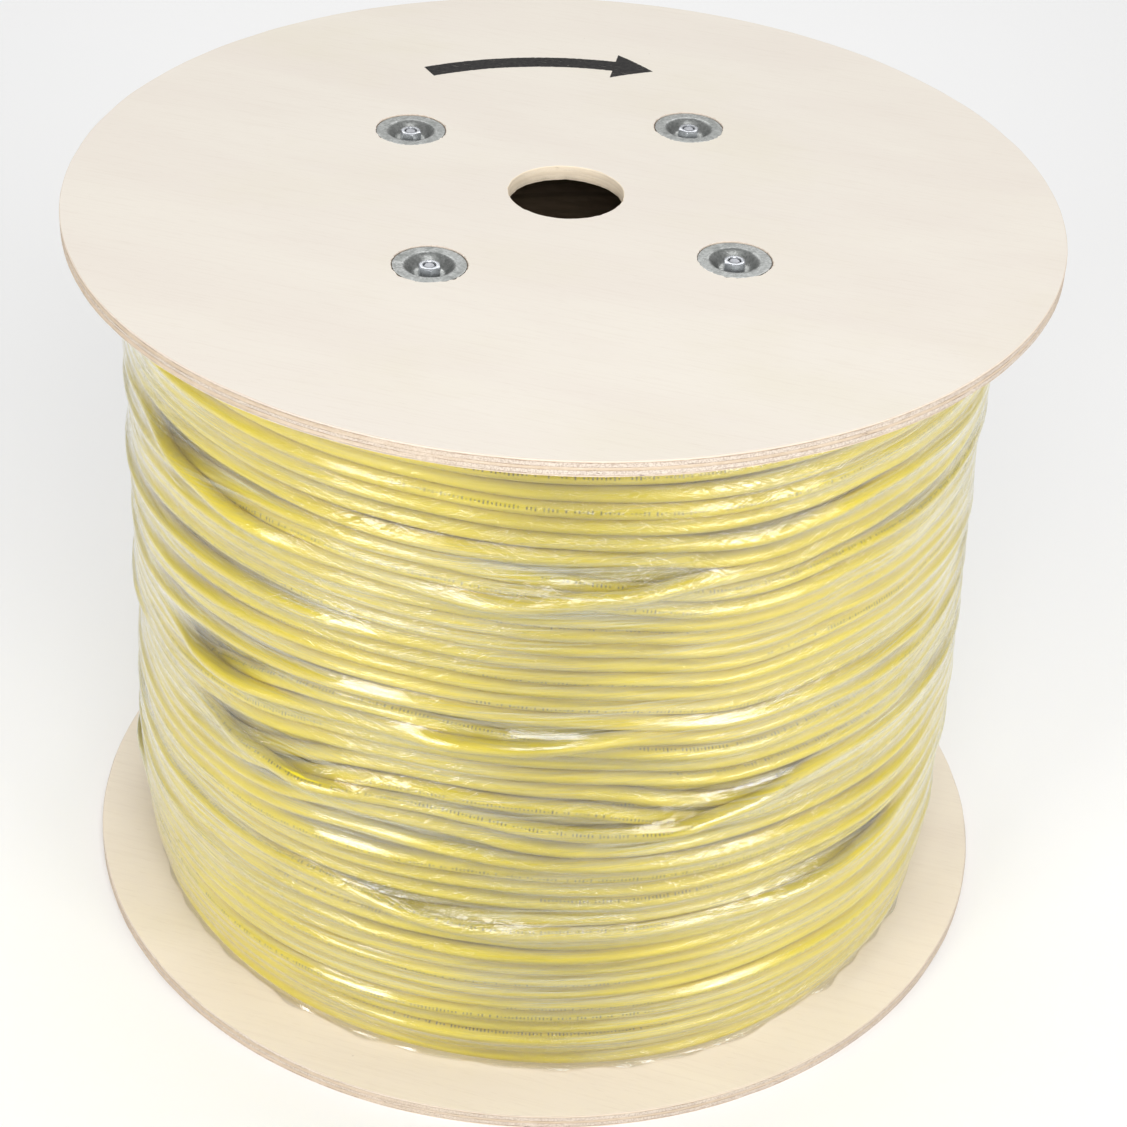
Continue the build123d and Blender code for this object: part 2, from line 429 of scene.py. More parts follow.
def film_material():
    """Clear film: hardly seen where it is tight on the cable, milky where it spans a gap."""
    g = Graph("stretch_film_clear")
    s = FILM_SHIFT
    gap = g.node("Attribute", {"attribute_name": "gap"}).outputs["Fac"]
    streak = g.noise((9, 9, 420), 5, 0.65, move=(s, 0, 0))
    broad = g.noise((7, 7, 34), 3, 0.5, (3, 2, 0), (0, s, 0))
    cross_a = g.noise((22, 22, 330), 3, 0.6, (0, 26, 0), (0, 0, s))
    cross_b = g.noise((22, 22, 330), 3, 0.6, (18, -24, 0), (s, s, 0))
    fine = g.noise((60, 60, 2400), 3, 0.6, (0, 4, 0))
    thread = g.range(g.noise((16, 16, 1500), 3, 0.7, (0, 2, 0), (0, s, s)), 0.5, 0.62)
    haze = g.mul(gap, g.range(streak, 0.3, 0.7, 0.1, 0.6, "LINEAR"))
    haze = g.add(haze, g.mul(g.range(broad, 0.40, 0.68), g.range(streak, 0.40, 0.62, 0.05, 0.75)))
    haze = g.add(haze, g.mul(thread, g.range(broad, 0.3, 0.6, 0.1, 0.6)))
    haze = g.mul(haze, VEIL, clamp=True)
    facing = g.node("LayerWeight", Blend=0.5).outputs["Facing"]
    rim = g.mul(g.math("POWER", facing, 3), 0.42)
    alpha = g.add(g.add(haze, TIGHT_VEIL), rim, clamp=True)
    patch = g.range(g.noise((11, 11, 16), 2, 0.5, move=(1, 2, s)), 0.45, 0.7)
    creases = [g.range(g.math("ABSOLUTE", g.sub(c, 0.5)), 0, 0.03, 1, 0) for c in (cross_a, cross_b)]
    creases = g.mul(g.add(*creases), patch)
    height = g.add(g.add(g.mul(streak, 1.2), g.mul(fine, 0.15)), g.mul(creases, 1.3))
    normal = g.bump(height, 0.35, 0.0009)
    milky = {"Base_Color": (0.72, 0.695, 0.50), "Roughness": 0.4, "Specular_IOR_Level": 0.0}
    milk = g.principled(Alpha=alpha, Normal=normal, **milky)
    shine = g.node("BsdfAnisotropic", Color=(1, 1, 1), Roughness=0.05, Normal=normal)
    edge_on = g.node("Fresnel", IOR=1.5, Normal=normal).outputs[0]
    straight_on = 0.04 * EDGE_SHINE
    both = g.node("MixShader", Fac=g.add(g.mul(edge_on, EDGE_SHINE), SHINE - straight_on, clamp=True))
    g.put(both.inputs[1], milk.outputs[0])
    g.put(both.inputs[2], shine.outputs[0])
    g.put(g.out.inputs["Surface"], both.outputs[0])
    return g.material


def ink_material():
    """Matt black stamping ink, thin where the wood's grain kept it off."""
    g = Graph("stamp_ink")
    grain = g.noise((60, 1300, 60), 3, 0.6, (0, 0, GRAIN))
    blot = g.noise((420, 420, 60), 3, 0.6)
    missing = g.add(g.range(grain, 0.60, 0.72, 0, 0.5), g.range(blot, 0.62, 0.75, 0, 0.35), clamp=True)
    g.principled(
        Base_Color=g.mix(g.range(blot, 0.3, 0.7), (0.018, 0.017, 0.017), (0.04, 0.037, 0.035)),
        Roughness=0.7,
        Specular_IOR_Level=0.2,
        Alpha=g.sub(1, missing),
    )
    return g.material


def rubber_material():
    """Black shrink sleeve, satin and slightly rippled."""
    g = Graph("shrink_sleeve")
    ripple = g.noise((300, 300, 300), 3, 0.5)
    g.principled(
        Base_Color=g.mix(ripple, (0.018, 0.018, 0.02), (0.03, 0.03, 0.032)),
        Roughness=g.range(ripple, 0.3, 0.7, 0.38, 0.55),
        Normal=g.bump(ripple, 0.2, 0.0004),
    )
    return g.material


# ---------- flanges
RIM_STEPS = 720
ARBOR_STEPS = 200
SEAT_STEPS = 120
GROOVE_STEPS = 360
# the third slot holds the arbor hole's wall, made pale with painted light
FACE, EDGE, BORE_LIT_WALL = 0, 1, 2  # a flange's material slots


def chipped(rng, n, rough, chips, outward):
    """A cut edge's offsets: slight raggedness and a few torn chips."""
    offsets = rough * wave(rng, n, 40, 0.35) * 0.4
    t = even_angles(n)
    for _ in range(chips):
        at, wide, deep = (rng.uniform(*span) for span in ((0, 2 * pi), (0.02, 0.10), (0.5, 1.8)))
        deep *= rough
        off = (t - at + pi) % (2 * pi) - pi
        offsets += outward * deep * np.exp(-((off / wide) ** 2))
    return offsets


def add_wall(m, rng, radius, levels, steps, outward, chips, worn_depth, fuzz, slot):
    """A cut edge, from levels of (depth, how far it stands back). Returns its top and bottom rings."""
    worn, worn_low = (chipped(rng, steps, *corner, outward) for corner in chips)
    rows = []
    for depth, back in levels:
        near_top = max(0.0, 1 - depth / worn_depth)
        near_low = max(0.0, 1 - (THICK - depth) / worn_depth)
        uneven = fuzz[0] * wave(rng, steps, fuzz[1], 0.2)
        radii = radius + outward * back + uneven + near_top * worn + near_low * worn_low
        rows.append(m.add(circle(np.minimum(radii, FLANGE_R), -depth)))
    for a, b in zip(rows, rows[1:]):
        m.bridge(*((a, b) if outward > 0 else (b, a)), slot)
    return rows[0], rows[-1]


def add_rim(m, rng):
    """The disc's rim: rounded corners, and glue lines a little sunk."""
    levels = [(0.0, 0.00045), (0.00012, 0.00018), (0.0004, 0.00004), (0.0008, 0.0)]
    for line in PLY_LINES:
        z = line * THICK
        levels += [(z - 0.00016, 0.0), (z, 0.00007), (z + 0.00016, 0.0)]
    levels += [(THICK - 0.0006, 0.0), (THICK - 0.0003, 0.00005), (THICK - 0.0001, 0.0002), (THICK, 0.00045)]
    radius, chips = FLANGE_R - 0.00006, ((0.00016, 26), (0.0002, 30))
    return add_wall(m, rng, radius, sorted(levels), RIM_STEPS, -1, chips, 0.0012, (0.00003, 90), EDGE)


def add_arbor(m, rng):
    """The arbor hole, with a slight break at both edges."""
    levels = [(0, 0.0004), (0.0002, 0.0001), (0.0006, 0.0), (0.5 * THICK, 0.0)]
    levels += [(THICK - 0.0006, 0.0), (THICK - 0.0002, 0.0001), (THICK, 0.0003)]
    chips = ((0.00022, 9), (0.0003, 12))
    return add_wall(m, rng, ARBOR_R, levels, ARBOR_STEPS, 1, chips, 0.0015, (0.00004, 60), BORE_LIT_WALL)


def build_flange(end, materials):
    """One plywood disc. It is made face up with its face at z = 0, then put in place."""
    name, node, upper = f"flange_disc_{end}", f"{end}_flange", end == "upper"
    rng = np.random.default_rng(11 if upper else 12)
    m = Mesher()
    rim_top, rim_low = add_rim(m, rng)
    arbor_top, arbor_low = add_arbor(m, rng)

    # the cup holes break out into the core tube's groove: both walls share the crossing lines
    far = (GROOVE_IN_R**2 - ROD_CIRCLE_R**2 - CUP_HOLE_R**2) / (2 * ROD_CIRCLE_R * CUP_HOLE_R)
    cross = acos(far)
    apart = atan2(CUP_HOLE_R * sin(cross), ROD_CIRCLE_R + CUP_HOLE_R * cos(cross))
    inner_turns = np.linspace(cross, 2 * pi - cross, 80)
    outer_turns = np.linspace(-cross, cross, 15)[1:-1]
    whole = np.append(inner_turns, outer_turns)
    inner = len(inner_turns)
    groove_z = -THICK + GROOVE_DEPTH

    # the washers' seats and the holes for their cups
    seats, broken = [], []
    for k, angle in enumerate(ROD_ANGLES):
        centre = polar(ROD_CIRCLE_R, angle, 0)[:2]
        torn = chipped(rng, SEAT_STEPS, 0.0004, 9 + 2 * k, 1)
        torn += 0.00018 * rng.normal(size=SEAT_STEPS)
        lip = m.add(circle(SEAT_R + 0.00015 + torn, 0.0, centre))
        under = m.add(circle(SEAT_R + 0.4 * torn, -0.0004, centre))
        floor_out = m.add(circle([SEAT_R] * SEAT_STEPS, -SEAT_DEPTH, centre))
        floor_in, middle, low = (
            m.add(polar(CUP_HOLE_R, angle + t, z, centre) for t in turns)
            for z, turns in ((-SEAT_DEPTH, whole), (groove_z, whole), (-THICK, inner_turns))
        )
        m.bridge(lip, under, EDGE)
        m.bridge(under, floor_out, EDGE)
        m.fill([floor_out, floor_in], up=True, slot=EDGE)
        m.bridge(floor_in, middle, EDGE)
        m.bridge(middle[:inner], low, EDGE, closed=False)
        seats.append(lip)
        broken.append((middle, low))

    # the groove for the core tube, in the inner face
    groove_low, groove_deep = (m.add(circle([GROOVE_OUT_R] * GROOVE_STEPS, z)) for z in (-THICK, groove_z))
    m.bridge(groove_deep, groove_low, EDGE)
    floor_loop, face_loop = [], []
    for k, angle in enumerate(ROD_ANGLES):
        turns = np.linspace(angle + apart, angle + pi / 2 - apart, 90)[1:-1]
        here, after = broken[k], broken[(k + 1) % 4]
        deep = m.add(polar(GROOVE_IN_R, t, groove_z) for t in turns)
        shallow = m.add(polar(GROOVE_IN_R, t, -THICK) for t in turns)
        deep = [here[0][0], *deep, after[0][inner - 1]]
        shallow = [here[1][0], *shallow, after[1][inner - 1]]
        m.bridge(shallow, deep, EDGE, closed=False)
        floor_loop += deep + after[0][inner:]
        face_loop += shallow[:-1] + after[1][:0:-1]

    m.fill([rim_top, arbor_top, *seats], up=True, slot=FACE)
    m.fill([groove_deep, floor_loop], up=False, slot=EDGE)
    m.fill([rim_low, groove_low], up=False, slot=FACE)
    m.fill([face_loop, arbor_low], up=False, slot=FACE)

    obj = mesh_object(name, place(m.verts, upper), m.faces, materials, [node], angle=35)
    obj.data.polygons.foreach_set("material_index", m.slots)
    for i in m.level:
        obj.data.polygons[i].use_smooth = False


def place(verts, upper, k=None):
    """Puts what was made face up at z = 0 on the upper or, turned over, the lower face, round rod k."""
    v = np.array(verts)
    if k is not None:
        x, y, _ = polar(ROD_CIRCLE_R, ROD_ANGLES[k], 0)
        v = v + [x, y if upper else -y, 0]
    if upper:
        v[:, 2] += TOP
    else:
        v[:, 1:] *= -1
    return v


# ---------- fastenings
RIM_DROP = 0.0004  # the washer's rim lies this far under the wood
SHEET = 0.0012
WASHER_R = 0.018
WASHER_BORE_R = 0.0033
CUP_R = 0.0131
CUP_FLOOR_R = 0.0066
CUP_DEPTH = 0.005


def cup_profile():
    """The pressed washer's section, from its outer edge over the rim into the cup and back."""

    def cup_z(r):
        """The upper surface: level rim, a long soft bend, the cup's wall and its level floor."""
        return -RIM_DROP - CUP_DEPTH * eased(min(1.0, max(0.0, (CUP_R - r) / (CUP_R - CUP_FLOOR_R))))

    inmost = WASHER_BORE_R + 0.0001
    top = [(r, cup_z(r)) for r in np.linspace(WASHER_R - 0.0004, inmost, 46)]
    under = []
    for i, (r, z) in enumerate(top):
        a, b = top[max(0, i - 1)], top[min(len(top) - 1, i + 1)]
        dr, dz = b[0] - a[0], b[1] - a[1]
        long = hypot(dr, dz)
        under.append((max(r - SHEET * dz / long, inmost), z + SHEET * dr / long))
    edge = [
        (WASHER_R - 0.0002, -RIM_DROP - SHEET),
        (WASHER_R, -RIM_DROP - 0.0009),
        (WASHER_R, -RIM_DROP - 0.0004),
        (WASHER_R - 0.0001, -RIM_DROP - 0.0001),
    ]
    bore = [(WASHER_BORE_R, top[-1][1] - 0.0002), (WASHER_BORE_R, under[-1][1] + 0.0002)]
    return top + bore + under[::-1] + edge


def build_washer(end, k, material):
    """One galvanised cup washer, very slightly dished and dented by its nut."""
    name, node, upper = f"washer_{end}_{k + 1}", f"{end}_cup_washer_{k + 1}", end == "upper"
    rng = np.random.default_rng(40 + k + (10 if upper else 0))
    m = lathe(cup_profile(), 120)
    v = np.array(m.verts)
    angle = np.arctan2(v[:, 1], v[:, 0])
    share = np.hypot(v[:, 0], v[:, 1]) / WASHER_R
    lean = rng.uniform(0, 2 * pi)
    v[:, 2] += 0.00006 * np.cos(angle - lean) * share
    v[:, 2] += 0.00003 * np.sin(3 * angle + lean) * share**4
    v[:, :2] *= (1 + 0.0016 * np.cos(2 * (angle - lean)) * share**3 - 0.0016)[:, None]
    mesh_object(name, place(v, upper, k), m.faces, [material], [node], angle=50)


NUT_FLATS = 0.010
NUT_HEIGHT = 0.005
NUT_THREAD_R = 0.00305
NUT_TURNS = {"upper": (41.0, 9.0, 2.0, 54.0), "lower": (17.0, 33.0, 48.0, 5.0)}  # in degrees, by rod


def build_nut(end, k, material):
    """A chamfered hex nut with a washer-faced top and a countersunk bore."""
    name, node, upper = f"nut_{end}_{k + 1}", f"{end}_hex_nut_{k + 1}", end == "upper"
    n = 6 * 14
    flats = NUT_FLATS / 2
    corner = flats * 1.13  # where the corners' rounding starts
    angles = 2 * pi * np.arange(n) / n
    off = (angles + pi / 6) % (pi / 3) - pi / 6
    hexagon = flats / np.cos(off)
    hexagon = np.where(hexagon > corner, corner + (hexagon - corner) * 0.45, hexagon)
    angles += radians(NUT_TURNS[end][k])
    face_r = flats * 0.93
    fall = (hexagon - face_r) * tan(radians(30))  # the chamfer's drop
    base = -RIM_DROP - CUP_DEPTH
    top = base + NUT_HEIGHT
    rows = [
        (NUT_THREAD_R + 0.00035, top - 0.00005),
        (face_r - 0.0002, top),
        (face_r, top - 0.00003),
        ((face_r + hexagon) / 2, top - fall / 2 - 0.00002),
        (hexagon - 0.00006, top - fall),
        (hexagon, top - fall - 0.0001),
        (hexagon, base + fall + 0.0001),
        (hexagon - 0.00006, base + fall),
        (face_r, base),
        (NUT_THREAD_R + 0.00035, base + 0.00002),
        (NUT_THREAD_R, base + 0.0004),
        (NUT_THREAD_R, top - 0.00045),
    ]
    m = Mesher()
    rings = []
    for radii, heights in rows:
        radii, heights = np.broadcast_to(radii, n), np.broadcast_to(heights, n)
        rings.append(m.add(polar(r, a, z) for r, a, z in zip(radii, angles, heights)))
    for a, b in zip(rings, rings[1:] + rings[:1]):
        m.bridge(b, a)
    mesh_object(name, place(m.verts, upper, k), m.faces, [material], [node], angle=25)


THREAD_PITCH = 0.001
THREAD_STEPS = 18  # to the turn
THREAD = [(0.0, 0.00246), (0.12, 0.00246), (0.5, 0.00298), (0.62, 0.00298)]  # share of the pitch, radius
ROD_END_R = 0.0027


def build_rod(k, material):
    """Threaded rod: a real helix between two chamfered ends."""
    low, high = 0.0008, TOP - 0.0008
    start, end = low + 0.0006, high - 0.0016
    steps = int((end - start) / THREAD_PITCH) * THREAD_STEPS
    m = Mesher()
    per = len(THREAD)
    points = []
    for s in range(steps + THREAD_STEPS + 1):
        for share, r in THREAD:
            z = start + THREAD_PITCH * (s / THREAD_STEPS + share)
            points.append(polar(r, 2 * pi * s / THREAD_STEPS, min(z, high - 0.0004)))
    ids = m.add(points)
    for s in range(steps):
        for j in range(per):
            a = s * per + j
            up = 1 if j + 1 < per else THREAD_STEPS * per - j  # to the next point up the rod
            m.face((ids[a], ids[a + per], ids[a + per + up], ids[a + up]))
    for z, way in ((low, 1), (high, -1)):
        shoulder, back = z + way * 0.00045, z + way * 0.0014
        tip = [(0, z), (0.00225, z), (ROD_END_R, shoulder), (ROD_END_R, back), (0, back)]
        lathe(tip[::way], 48, m)
    used = sorted({v for f in m.faces for v in f})
    again = {v: i for i, v in enumerate(used)}
    faces = [tuple(again[v] for v in f) for f in m.faces]
    verts = np.array([m.verts[i] for i in used]) + polar(ROD_CIRCLE_R, ROD_ANGLES[k], 0)
    mesh_object(f"studding_{k + 1}", verts, faces, [material], [f"tie_rod_{k + 1}"], angle=40)


# ---------- cable
CABLE_R = 0.004
TURN_STEPS = 360
OUTER_TURNS = 44
UNDER_TURNS = 46
INNER_TURNS = 48
WOUND_R = 0.2216  # the crests of the outer turns at mid height
FLANGE_GAP = 0.0004  # between a flange and the first turn
SHOULDER = 0.045  # how far from a flange the winding starts to fall away

# a turn that climbs over its neighbours: which one, how many it crosses, and from and to which angles
CROSSINGS = [
    (7, 2, 216, 266),
    (18, 1, 218, 258),
    (22, 2, 228, 284),
    (30, 1, 252, 304),
    (4, 1, 60, 130),
    (15, 1, 20, 90),
    (27, 2, 40, 120),
    (38, 1, 100, 170),
]


def crown(z, theta):
    """How far the winding falls short near the flanges, not quite evenly round the reel."""
    near = np.minimum(z - LOW, HIGH - z)
    share = np.clip(1 - near / SHOULDER, 0, 1)
    low_side = np.where(z < TOP / 2, 0.0085 - 0.0035 * np.cos(theta - radians(-10)), 0.003)
    return low_side * share**2


def spaced_turns(rng, turns, low, high, spread, wobble):
    """Heights of turns lying side by side, with the slack between them shared out unevenly.

    Row k is turn k's height at each angle. The slack wanders from gap to gap, so that bundles of
    turns drift up and down.
    """
    slack = (high - low) - 2 * CABLE_R * turns
    gaps = np.array([wave(rng, TURN_STEPS, 7, 0.7) for _ in range(turns + 1)])
    group = np.array([wave(rng, TURN_STEPS, 3, 0.5) for _ in range(turns // 5 + 2)])
    at = np.linspace(0, len(group) - 1.001, turns + 1)
    left = at.astype(int)
    share = (at - left)[:, None]
    gaps = gaps * wobble + (group[left] * (1 - share) + group[left + 1] * share)
    weight = np.exp(spread * gaps)
    weight /= weight.sum(0)
    return low + CABLE_R + np.cumsum(weight * slack, 0)[:-1] + 2 * CABLE_R * np.arange(turns)[:, None]


def helical(z):
    """Closed rings of turns joined up into one helix: each turn drifts into the next one's place."""
    t = np.arange(z.shape[1]) / z.shape[1]
    following = np.vstack([z[1:], z[-1:]])
    return z * (1 - t) + following * t


def hull(radii):
    """The taut line round a closed ring of radii: it spans every hollow with a straight chord."""
    n = len(radii)
    t = even_angles(n)
    first = int(np.argmax(radii))
    xs, ys = (radii * np.cos(t)).tolist(), (radii * np.sin(t)).tolist()
    keep = []
    for i in ((first + i) % n for i in range(n + 1)):
        while len(keep) > 1:
            a, b = keep[-2], keep[-1]
            if (xs[b] - xs[a]) * (ys[i] - ys[a]) - (ys[b] - ys[a]) * (xs[i] - xs[a]) > 0:
                break
            keep.pop()
        keep.append(i)
    out = radii.copy()
    for a, b in zip(keep, keep[1:]):
        ax, ay, bx, by = xs[a], ys[a], xs[b], ys[b]
        for s in range(1, (b - a) % n):
            i = (a + s) % n
            down = cos(t[i]) * (by - ay) - sin(t[i]) * (bx - ax)
            if abs(down) > 1e-12:
                out[i] = max(out[i], (ax * (by - ay) - ay * (bx - ax)) / down)
    return out


def rest_on(z, under_z, under_r, least):
    """The radius at which turns at height z touch the turns beneath."""
    apart = np.abs(z[None, :] - under_z)
    reach = np.clip((2 * CABLE_R) ** 2 - apart**2, 0, None)
    lift = np.where(reach > 0, under_r + np.sqrt(reach), 0)
    return np.maximum(lift.max(0), least)


def joined(rows):
    """Removes the step where each turn meets the next."""
    n = rows.shape[1]
    ease = eased(np.clip((np.arange(n) - n * 0.9) / (n * 0.1), 0, 1))
    rows = rows.copy()
    for k in range(len(rows) - 1):
        rows[k] += (rows[k + 1][0] - rows[k][-1]) * ease
    return rows


def stretch_of(theta, start, stop, half):
    """1 between two angles and 0 elsewhere, with soft ends."""
    rise = np.clip((theta - start) / (2 * half) + 0.5, 0, 1)
    fall = np.clip((stop - theta) / (2 * half) + 0.5, 0, 1)
    return eased(np.minimum(rise, fall))


def wind_layers():
    """Both layers made turn by turn, as (heights, radii), one row for each turn.

    The under layer runs up the reel and the outer one back down. Their free ends dive inward.
    """
    rng = np.random.default_rng(2024)
    theta = even_angles(TURN_STEPS)
    low, high = LOW + FLANGE_GAP, HIGH - FLANGE_GAP
    under_z = helical(spaced_turns(rng, UNDER_TURNS, low, high, 1.3, 0.9))
    swell = np.array([wave(rng, TURN_STEPS, 4, 0.8) for _ in range(6)])
    at = (under_z - low) / (high - low) * (len(swell) - 1.001)
    left = at.astype(int)
    share = at - left
    cols = np.arange(TURN_STEPS)[None, :]
    lumps = swell[left, cols] * (1 - share) + swell[left + 1, cols] * share
    under_r = WOUND_R - CABLE_R - sqrt(3) * CABLE_R - 0.0004 - crown(under_z, theta[None, :]) + 0.0009 * lumps
    under_r = joined(np.array([hull(row) for row in under_r]))

    outer_z = helical(spaced_turns(rng, OUTER_TURNS, low, high, 1.0, 1.1)[::-1])
    for turn, slots, start, stop in CROSSINGS:
        share = stretch_of(theta, radians(start), radians(stop), radians(18))
        others = outer_z[turn + 1 : turn + slots + 1].copy()
        before = outer_z[turn : turn + slots].copy()
        outer_z[turn + 1 : turn + slots + 1] += share * (before - others)
        outer_z[turn] += share * (others[-1] - outer_z[turn])
    outer_r = []
    for row in outer_z:
        least = WOUND_R - CABLE_R - 0.0035 - crown(row, theta)
        proud = 0.0022 * np.clip(0.5 * rng.normal() + 0.8 * wave(rng, TURN_STEPS, 5, 0.8), 0, 1.1)
        outer_r.append(hull(rest_on(row, under_z, under_r, least) + proud))
    for turn, slots, _, _ in CROSSINGS:
        others = slice(turn + 1, turn + slots + 1)
        climbed = rest_on(outer_z[turn], outer_z[others], np.array(outer_r[others]), 0)
        outer_r[turn] = hull(np.maximum(outer_r[turn], climbed))
    outer_r = joined(np.array(outer_r))
    dive = 0.010 * (1 - np.clip(theta / radians(22), 0, 1)) ** 2
    outer_r[0] -= dive
    under_r[0] -= dive
    under_r[-1] -= dive[::-1]
    return (under_z, under_r), (outer_z, outer_r)


def helix_path(z, r):
    """One long path through the rows of a helical layer: its points and its angles."""
    turns, n = z.shape
    angles = np.arange(turns * n + 1) * 2 * pi / n
    heights, radii = np.append(z, z[-1][-1]), np.append(r, r[-1][-1])
    return np.stack([radii * np.cos(angles), radii * np.sin(angles), heights], 1), angles


def unit(vectors):
    return vectors / np.linalg.norm(vectors, axis=-1, keepdims=True)


def wound_mesh(name, verts, faces, material, angle):
    return mesh_object(name, verts, faces, [material], ["cable_winding"], angle=angle)


def build_cable(name, path, first, last, sides, material):
    """Round cable along part of a path. Its UV is the length in metres and the share of a turn round it."""
    line, angles = path
    tangent = unit(np.gradient(line, axis=0))
    side = unit(np.cross(tangent, np.stack([np.cos(angles), np.sin(angles), np.zeros_like(angles)], 1)))
    out = np.cross(side, tangent)
    length = np.append(0, np.cumsum(np.linalg.norm(np.diff(line, axis=0), axis=1)))
    roll = 0.5 + 0.1 * np.sin(length * 1.7) + 0.14 * np.sin(length * 0.45 + 1.0)
    line, out, side, length, roll = (values[first : last + 1] for values in (line, out, side, length, roll))
    around = even_angles(sides)[None, :, None]
    lift = np.cos(around) * out[:, None] + np.sin(around) * side[:, None]
    verts = (line[:, None] + CABLE_R * lift).reshape(-1, 3)
    rings = len(line)
    j = np.arange(sides)[None, :]
    va = (j / sides + roll[:-1][:, None]) % 1.0
    vb = va + (roll[1:] - roll[:-1])[:, None]
    la, lb = (np.broadcast_to(values[:, None], va.shape) for values in (length[:-1], length[1:]))
    uv = np.stack([la, va, la, va + 1 / sides, lb, vb + 1 / sides, lb, vb], -1).reshape(-1)
    ends = [tuple(range(sides))[::-1], tuple(range((rings - 1) * sides, rings * sides))]
    faces = grid_faces(rings, sides) + ends
    obj = wound_mesh(name, verts, faces, material, 60)
    uv = np.append(uv, np.zeros(4 * sides))
    obj.data.uv_layers.new(name="along").data.foreach_set("uv", uv)


def grid_faces(rows, cols):
    """Quads of a grid of points that closes on itself along its rows."""
    i, j = np.meshgrid(np.arange(rows - 1), np.arange(cols), indexing="ij")
    here, beside = i * cols + j, i * cols + (j + 1) % cols
    return np.stack([here, beside, beside + cols, here + cols], -1).reshape(-1, 4).tolist()


def build_inner_layers(material):
    """The layers below those made turn by turn, seen only in the depth of a gap: a scalloped ring."""
    inside_r, crest = CORE_R + 0.0005, 0.2015
    pitch = (HIGH - LOW - 2 * FLANGE_GAP) / INNER_TURNS
    profile = [(inside_r, LOW + FLANGE_GAP)]
    for k in range(INNER_TURNS):
        middle = LOW + FLANGE_GAP + pitch * (k + 0.5)
        near = min(middle - LOW, HIGH - middle)
        fall = (0.012 if middle < TOP / 2 else 0.0035) * max(0.0, 1 - near / SHOULDER) ** 2
        for a in np.linspace(-pi / 2, pi / 2, 7):
            profile.append((crest - fall + CABLE_R * cos(a), middle + 0.499 * pitch * sin(a)))
    profile.append((inside_r, HIGH - FLANGE_GAP))
    m = lathe(profile, 180)
    wound_mesh("winding_inner", m.verts, m.faces, material, 60)


def build_end_cap(path, material):
    """The shrink cap on the cable's outer end."""
    line, angles = path[0][-7:], path[1]
    ahead = unit(line[-1] - line[-2])
    sections = [(line[0], 0.0042)] + [(point, 0.00455) for point in line[1:]]
    for forward, radius in ((0.0015, 0.00445), (0.0032, 0.0040), (0.0045, 0.0029), (0.0050, 0.0014)):
        sections.append((line[-1] + forward * ahead, radius))
    side = unit(np.cross(ahead, polar(1, angles[-1], 0)))
    outward = np.cross(side, ahead)
    m = Mesher()
    rings = []
    for centre, radius in sections:
        turns = even_angles(24)
        rings.append(m.add(centre + radius * (cos(a) * outward + sin(a) * side) for a in turns))
    for a, b in zip(rings, rings[1:]):
        m.bridge(a, b)
    m.fan(rings[-1], m.add([sections[-1][0] + 0.0002 * ahead])[0])
    m.fan(rings[0][::-1], m.add([line[0]])[0])
    wound_mesh("cable_end_cap", m.verts, m.faces, material, 50)


# ---------- film
FILM_COLS = 720
FILM_ROWS = 456
FILM_PIECES = 4
FILM_LOW = LOW + 0.0007
FILM_HIGH = HIGH - 0.0007
MAP_STEP = 0.0006
BALL = 0.0075  # how sharply the film can dip between two turns
GAP_BALL = 0.0025  # what fits between two turns and still counts as touching them


def height_map(layers):
    """The outermost cable surface, as radii at each height and angle."""
    rows = int(round((HIGH - LOW) / MAP_STEP)) + 1
    heights = np.linspace(LOW, HIGH, rows)
    step = heights[1] - heights[0]
    out = np.full((rows, FILM_COLS), CORE_R)
    theta = even_angles(FILM_COLS)
    cols = np.arange(FILM_COLS)
    reach = int(CABLE_R / step) + 1
    known = np.arange(TURN_STEPS + 1) * 2 * pi / TURN_STEPS
    for layer in layers:
        turns = len(layer[0])
        for k in range(turns):
            after = (k + 1, 0) if k + 1 < turns else (k, -1)
            zk, rk = (np.interp(theta, known, np.append(rows_of[k], rows_of[after])) for rows_of in layer)
            middle = np.round((zk - LOW) / step).astype(int)
            for off in range(-reach, reach + 1):
                row = np.clip(middle + off, 0, rows - 1)
                away = CABLE_R**2 - (heights[row] - zk) ** 2
                value = rk + np.sqrt(np.clip(away, 0, None))
                np.maximum.at(out, (row, cols), np.where(away > 0, value, 0))
    return heights, out


def rolled(surface, step, radius):
    """The surface a ball rolling over it from outside can touch, along each column."""
    reach = int(radius / step)
    offsets = np.arange(-reach, reach + 1)
    rise = np.sqrt(radius**2 - (offsets * step) ** 2)
    rows = len(surface)

    def shifted(rows_of, sign):
        padded = np.pad(rows_of, ((reach, reach), (0, 0)), mode="edge")
        return [padded[reach + o : reach + o + rows] + sign * h for o, h in zip(offsets, rise)]

    return np.min(shifted(np.max(shifted(surface, 1), axis=0), -1), axis=0)


